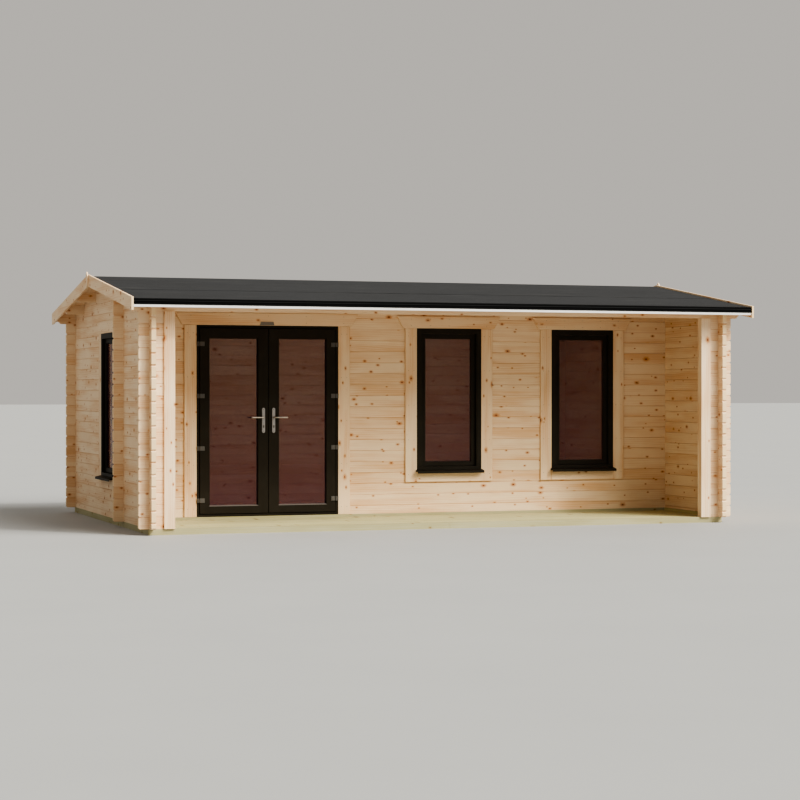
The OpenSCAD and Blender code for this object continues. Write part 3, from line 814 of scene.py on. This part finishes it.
def makeWindows():
    beads, gaskets = bmesh.new(), bmesh.new()
    for name, place, width, height, foot in openings():
        if name == "door":
            continue
        frameFace = -profile["windowOut"]
        sashFace = frameFace + profile["sashBack"]
        frameBack = frameFace + profile["windowDepth"]
        whole = (0, width, 0, height)
        clear = shrink(whole, profile["windowBar"])
        daylight = shrink(whole, profile["sashIn"])
        bm = bmesh.new()
        ring(bm, whole, clear, frameFace, frameBack, profile["ease"])
        ring(bm, shrink(clear, 1 * mm), daylight, sashFace, frameBack - 2 * mm, profile["ease"])
        windowSill(bm, width)
        bmesh.ops.transform(bm, matrix=place, verts=bm.verts)
        piece(name.replace("_", "") + "Profiles", bm, "blackFrame", cabin, [name])
        glassFront = sashFace + profile["paneIn"]
        for store in (beads, gaskets):
            store.verts.ensure_lookup_table()
        starts = len(beads.verts), len(gaskets.verts)
        glazing(beads, gaskets, daylight, sashFace, glassFront, glassFront + profile["paneThick"],
                frameBack - 2 * mm)
        for store, start in zip((beads, gaskets), starts):
            store.verts.ensure_lookup_table()
            bmesh.ops.transform(store, matrix=place, verts=store.verts[start:])
    piece("windowBeads", beads, "blackFrame", cabin)
    piece("windowGaskets", gaskets, "rubber", cabin)


makeWindows()
print("windows glazed")


door = dict(
    bar=25 * mm,
    stop=20 * mm,
    meetBevel=3.5 * mm,
    hinges=(254 * mm, 780 * mm, 1309 * mm, 1835 * mm),
    hingeHigh=45 * mm,
    knuckle=15 * mm,
    knuckleGap=1 * mm,
    pinOut=9 * mm,
    wing=52 * mm,
    plateThick=8 * mm,
    plateWide=34 * mm,
    plateHigh=256 * mm,
    plateMiddle=1.060,
    plateIn=51 * mm,  # from the meeting edge
    lockWide=15 * mm,
    lockHigh=28 * mm,
    lockDown=92 * mm,  # below the lever
    leverRadius=7 * mm,
    leverBend=14 * mm,
    leverTip=10 * mm,
    hingeScrew=3.5 * mm,
    plateScrew=3.6 * mm,
)


def mirrorX(bm, middle):
    # the right leaf's pieces are the left's, turned over the joint between the leaves
    bmesh.ops.scale(bm, vec=(-1, 1, 1), verts=bm.verts)
    bmesh.ops.translate(bm, vec=(2 * middle, 0, 0), verts=bm.verts)
    bmesh.ops.reverse_faces(bm, faces=bm.faces)


def plateBlock(bm, x0, x1, y0, y1, z0, z1, ease):
    part = block(x0, x1, y0, y1, z0, z1)
    easeEdges(part, ease, 2)
    addMesh(bm, part)


def pinBarrel(bm, x, y, z0, z1, radius):
    part = bmesh.new()
    bmesh.ops.create_cone(part, cap_ends=True, segments=28, radius1=radius, radius2=radius, depth=z1 - z0,
                          matrix=Matrix.Translation((x, y, (z0 + z1) / 2)))
    easeEdges(part, 1 * mm, 2, 1.0)
    addMesh(bm, part)


def screwHead(bm, x, y, z, radius, inward=1):
    # a low head with a round recess, facing the porch when inward is 1
    part = bmesh.new()
    bmesh.ops.create_cone(part, cap_ends=True, segments=16, radius1=radius, radius2=radius * 0.86,
                          depth=1.2 * mm, matrix=Matrix.Rotation(math.pi / 2 * inward, 4, "X"))
    front = min(part.faces, key=lambda f: f.calc_center_median().y * inward)
    bmesh.ops.inset_region(part, faces=[front], thickness=radius * 0.45, depth=-0.5 * mm)
    bmesh.ops.translate(part, vec=(x, y, z), verts=part.verts)
    addMesh(bm, part)


def hingeHalf(bm, hingeX, hingeY, z, side, reach, back):
    # side 1 is the leaf's half with the upper barrel, and -1 the frame's with the lower one
    high, radius, gap = door["hingeHigh"], door["knuckle"] / 2, door["knuckleGap"]
    half = (high - gap) / 2
    low = z + gap / 2 if side > 0 else z - high / 2
    pinBarrel(bm, hingeX, hingeY, low, low + half, radius)
    x0, x1 = sorted((hingeX, hingeX + side * (radius + 3 * gap)))
    plateBlock(bm, x0, x1, hingeY + 2 * gap, back, low, low + half, 0.5 * mm)
    x0, x1 = sorted((hingeX + side * (radius + gap), hingeX + side * reach))
    plateBlock(bm, x0, x1, hingeY + gap, back, z - high / 2, z + high / 2, 1.2 * mm)
    if side > 0:
        for dz in (-high * 0.28, high * 0.28):
            screwHead(bm, hingeX + reach * 0.62, hingeY + gap, z + dz, door["hingeScrew"])


def leafFrame(leafBox, glassBox):
    # stiles and rails around the pane, with the meeting edge slightly bevelled
    x0, x1, y0, y1, z0, z1 = leafBox
    bm = bmesh.new()
    ring(bm, (x0, x1, z0, z1), (glassBox[0], glassBox[1], glassBox[4], glassBox[5]), y0, y1, profile["ease"])
    for vert in bm.verts:
        if vert.co.x > x1 - 4 * mm:
            vert.co.x -= door["meetBevel"] * (vert.co.y - y0) / (y1 - y0)
    return bm


def makeDoorFrame():
    x0, x1, y0, y1, z0, z1 = box("door_frame")
    leaf = box("left_door_leaf")
    face = box("porch_wall_middle")[2] - trim["thick"]
    bm = bmesh.new()
    whole = (x0, x1, z0, z1)
    clear = shrink(whole, door["bar"])
    ring(bm, whole, clear, face, y1, profile["ease"])
    ring(bm, shrink(clear, -1 * mm), shrink(clear, door["stop"]), leaf[3] + 5 * mm, y1, profile["ease"])
    piece("doorFrameProfiles", bm, "blackFrame", cabin, ["door_frame"])
    hinges = bmesh.new()
    hingeX = leaf[0] - (leaf[0] - x0 - door["bar"]) / 2
    hingeY = leaf[2] - door["pinOut"]
    reach = hingeX - x0 - 2 * mm
    for z in door["hinges"]:
        hingeHalf(hinges, hingeX, hingeY, z, -1, reach, face)
    other = hinges.copy()
    mirrorX(other, (x0 + x1) / 2)
    addMesh(hinges, other)
    piece("frameHinges", hinges, "darkMetal", cabin)
    # rubber seal on the stop, behind the leaves
    seal = bmesh.new()
    ring(seal, shrink(clear, 9 * mm), shrink(clear, 14 * mm), leaf[3] + 1 * mm, leaf[3] + 5 * mm, 0.0)
    piece("doorSeal", seal, "rubber", cabin)


def pushCap(bm, cap, step, growth):
    # draws the end of a bar on along X, and widens or narrows it
    grown = bmesh.ops.extrude_face_region(bm, geom=cap)["geom"]
    bmesh.ops.delete(bm, geom=cap, context="FACES_ONLY")
    verts = vertsOf(grown)
    bmesh.ops.translate(bm, vec=(step, 0, 0), verts=verts)
    middle = sum((v.co for v in verts), Vector()) / len(verts)
    bmesh.ops.scale(bm, vec=(1, growth, growth), space=Matrix.Translation(-middle), verts=verts)
    return facesOf(grown)


def lever(plateX, face, leverZ, tipX, y1):
    # a round neck that bends into a grip, which widens towards its domed tip
    bend, tip = door["leverBend"], door["leverTip"]
    neck = abs(y1 - face) - bend
    out = math.copysign(1, y1 - face)
    side = math.copysign(1, tipX - plateX)
    bm = bmesh.new()
    bmesh.ops.create_circle(bm, cap_ends=True, segments=24, radius=door["leverRadius"],
                            matrix=Matrix.Translation((plateX, face, leverZ)) @
                            Matrix.Rotation(math.pi / 2, 4, "X"))
    grown = bmesh.ops.extrude_face_region(bm, geom=bm.faces[:])["geom"]
    bmesh.ops.translate(bm, vec=(0, out * neck, 0), verts=vertsOf(grown))
    cap = facesOf(grown)
    spun = bmesh.ops.spin(bm, geom=cap, angle=out * side * -math.pi / 2, steps=8, use_duplicate=False,
                          axis=(0, 0, 1), cent=(plateX + side * bend, face + out * neck, leverZ))
    bmesh.ops.delete(bm, geom=cap, context="FACES_ONLY")  # spin leaves its first face inside the bend
    cap = facesOf(spun["geom_last"])
    length = abs(tipX - plateX) - bend
    done = 0.0
    for share, growth in ((0.35, 1.12), (0.75, 1.14), (0.93, 1.04)):
        cap = pushCap(bm, cap, side * (share - done) * length, growth)
        done = share
    before = 0.0
    for turn in (20, 40, 60, 78):
        angle = math.radians(turn)
        step = side * (math.sin(angle) - math.sin(before)) * tip * 0.9
        cap = pushCap(bm, cap, step, math.cos(angle) / math.cos(before))
        before = angle
    bmesh.ops.recalc_face_normals(bm, faces=bm.faces)
    for f in bm.faces:
        f.smooth = True
    return bm


def backPlate(x, y0, y1, z, width, height, ease=2 * mm):
    # a plate with round ends and softened edges
    part = bmesh.new()
    bmesh.ops.create_circle(part, cap_ends=True, segments=32, radius=width / 2,
                            matrix=Matrix.Translation((x, y0, z)) @ Matrix.Rotation(math.pi / 2, 4, "X"))
    for vert in part.verts:
        vert.co.z += math.copysign((height - width) / 2, vert.co.z - z)
    grown = bmesh.ops.extrude_face_region(part, geom=part.faces[:])["geom"]
    bmesh.ops.translate(part, vec=(0, y1 - y0, 0), verts=vertsOf(grown))
    bmesh.ops.recalc_face_normals(part, faces=part.faces)
    easeEdges(part, ease, 3, 1.0)
    return part


def makeLeaf(side, body, leverBody):
    # everything is made for the left leaf and turned over for the right one
    d = box("door_frame")
    middle = (d[0] + d[1]) / 2
    leaf, glass, handle = box("left_door_leaf"), box("left_door_glass"), box("left_door_lever")
    frameBm = leafFrame(leaf, glass)
    beads, gaskets = bmesh.new(), bmesh.new()
    opening = (glass[0], glass[1], glass[4], glass[5])
    glazing(beads, gaskets, opening, leaf[2], glass[2], glass[3], leaf[3])
    # a metal strip sheds rain from the bottom bead
    strip = bmesh.new()
    section = [(leaf[2] - 0.4 * mm, opening[2] - 2 * mm), (leaf[2] - 0.4 * mm, opening[2] + 1.5 * mm),
               (glass[2] - 0.4 * mm, opening[2] + 11 * mm), (glass[2] - 0.4 * mm, opening[2] + 8 * mm),
               (leaf[2] + 2 * mm, opening[2] - 2 * mm)]
    sweepX(strip, section, opening[0] - 4 * mm, opening[1] + 4 * mm)
    # a soft seal closes each leaf's half of the joint between them
    plateBlock(gaskets, leaf[1] - 1 * mm, middle - 0.1 * mm, leaf[2] + 12 * mm, leaf[2] + 19 * mm,
               leaf[4] + 2 * mm, leaf[5] - 2 * mm, 0.6 * mm)
    hingeX = leaf[0] - (leaf[0] - d[0] - door["bar"]) / 2
    hingeY = leaf[2] - door["pinOut"]
    hinges = bmesh.new()
    for z in door["hinges"]:
        hingeHalf(hinges, hingeX, hingeY, z, 1, door["wing"], leaf[2])
    plateX, plateZ = leaf[1] - door["plateIn"], door["plateMiddle"]
    wide, high, thick = door["plateWide"], door["plateHigh"], door["plateThick"]
    leverZ = (handle[4] + handle[5]) / 2
    plates, locks = bmesh.new(), bmesh.new()
    for face, out in ((leaf[2], -1), (leaf[3], 1)):
        y = face + out * thick
        addMesh(plates, backPlate(plateX, face, y, plateZ, wide, high))
        for dz in (-high * 0.43, high * 0.43):
            screwHead(locks, plateX, y + out * 0.2 * mm, plateZ + dz, door["plateScrew"], -out)
        addMesh(locks, backPlate(plateX, y, y + out * 1.6 * mm, leverZ - door["lockDown"],
                                 door["lockWide"], door["lockHigh"], 0.6 * mm))
    levers = lever(plateX, handle[3] - 0.1 * mm, leverZ, handle[0], handle[2] + 10 * mm)
    reachIn = handle[3] - handle[2] - 10 * mm
    inFace = leaf[3] + thick + 0.5 * mm
    addMesh(levers, lever(plateX, inFace, leverZ, handle[0], inFace + reachIn))
    made = [("Frame", frameBm, "blackFrame", body, "black_frame", [side + "_door_leaf"]),
            ("Beads", beads, "blackFrame", body, "black_frame", []),
            ("Gaskets", gaskets, "rubber", body, "black_frame", []),
            ("Hinges", hinges, "darkMetal", body, "door_metal", []),
            ("Strip", strip, "plateSteel", body, "door_metal", []),
            ("Plates", plates, "plateSteel", body, "door_metal", [side + "_door_fittings"]),
            ("Locks", locks, "darkMetal", body, "door_metal", []),
            ("Levers", levers, "steel", leverBody, "door_metal", [side + "_door_lever"])]
    for name, bm, finish, rides, slot, replaced in made:
        if side == "right":
            mirrorX(bm, middle)
        piece(side + "Leaf" + name, bm, finish, rides, replaced)


makeDoorFrame()
makeLeaf("left", "left_leaf", "left_lever")
makeLeaf("right", "right_leaf", "right_lever")
print("doors hung")


stage = dict(
    look="AgX - High Contrast",
    floorSize=400.0,
    floorTone=srgb(172, 173, 172),
    sky=(0.92, 0.88, 0.82, 1.0),
    skyStrength=0.47,
    sunAzimuth=40.0,  # degrees to the right of the cabin's front
    sunHeight=42.5,
    sunColour=(1.0, 0.98, 0.92),
    suns=dict(crisp=(1.3, 6.0), soft=(3.5, 46.0)),  # strength and size in degrees
    lampPower=37.0,
    lampPlace=(-0.3, 0.3, 2.05),  # along the room, in from its front, and up
    lampSize=(0.8, 0.5),  # share of the room's width, and metres
    lampTilt=60,
)

view = dict(place=(-7.067, -20.900, 1.349), turn=(89.7765, 0.0, -19.063), lens=92.12)


def makeStage():
    bm = bmesh.new()
    bmesh.ops.create_grid(bm, x_segments=8, y_segments=8, size=stage["floorSize"] / 2)
    data = bpy.data.meshes.new("floor")
    bm.to_mesh(data)
    bm.free()
    net = Net("paleFloor")
    cloud = net.noise(net.objectPlace(), 0.8, 4.0, 0.6)
    tone = stage["floorTone"]
    darker = tuple(v * 0.86 for v in tone[:3]) + (1.0,)
    data.materials.append(net.feed(colour=net.mix(cloud * 0.5, tone, darker), rough=0.7))
    floor = bpy.data.objects.new("floor", data)
    bpy.context.scene.collection.objects.link(floor)
    world = bpy.data.worlds.new("studio")
    world.use_nodes = True
    background = world.node_tree.nodes["Background"]
    background.inputs["Color"].default_value = stage["sky"]
    background.inputs["Strength"].default_value = stage["skyStrength"]
    bpy.context.scene.world = world
    bpy.context.scene.view_settings.look = stage["look"]


def makeLights():
    turn, height = math.radians(stage["sunAzimuth"]), math.radians(stage["sunHeight"])
    level = math.cos(height)
    towards = Vector((math.sin(turn) * level, -math.cos(turn) * level, math.sin(height)))
    for name, (strength, size) in stage["suns"].items():
        sun = bpy.data.lights.new(name + "Sun", "SUN")
        sun.energy = strength
        sun.angle = math.radians(size)
        sun.color = stage["sunColour"]
        holder = bpy.data.objects.new(name + "Sun", sun)
        holder.rotation_euler = towards.to_track_quat("Z", "Y").to_euler()
        bpy.context.scene.collection.objects.link(holder)
    # a soft lamp in the room, so that the glass has something behind it
    room = box("room_floor")
    lamp = bpy.data.lights.new("roomLamp", "AREA")
    lamp.shape = "RECTANGLE"
    lamp.size = (room[1] - room[0]) * stage["lampSize"][0]
    lamp.size_y = stage["lampSize"][1]
    lamp.energy = stage["lampPower"]
    inside = bpy.data.objects.new("roomLamp", lamp)
    along, inwards, up = stage["lampPlace"]
    inside.location = (along, room[2] + inwards, up)
    inside.rotation_euler = (math.radians(stage["lampTilt"]), 0, 0)
    inside.visible_camera = False
    bpy.context.scene.collection.objects.link(inside)


def makeCamera():
    camera = bpy.data.cameras.new("frontView")
    camera.lens = view["lens"]
    camera.sensor_width = 36.0
    camera.clip_end = 300.0
    holder = bpy.data.objects.new("frontView", camera)
    holder.location = view["place"]
    holder.rotation_euler = [math.radians(a) for a in view["turn"]]
    bpy.context.scene.collection.objects.link(holder)
    bpy.context.scene.camera = holder


makeStage()
makeLights()
makeCamera()
print("stage set")


def corners(bounds):
    return [[float(v) for v in corner] for corner in bounds]
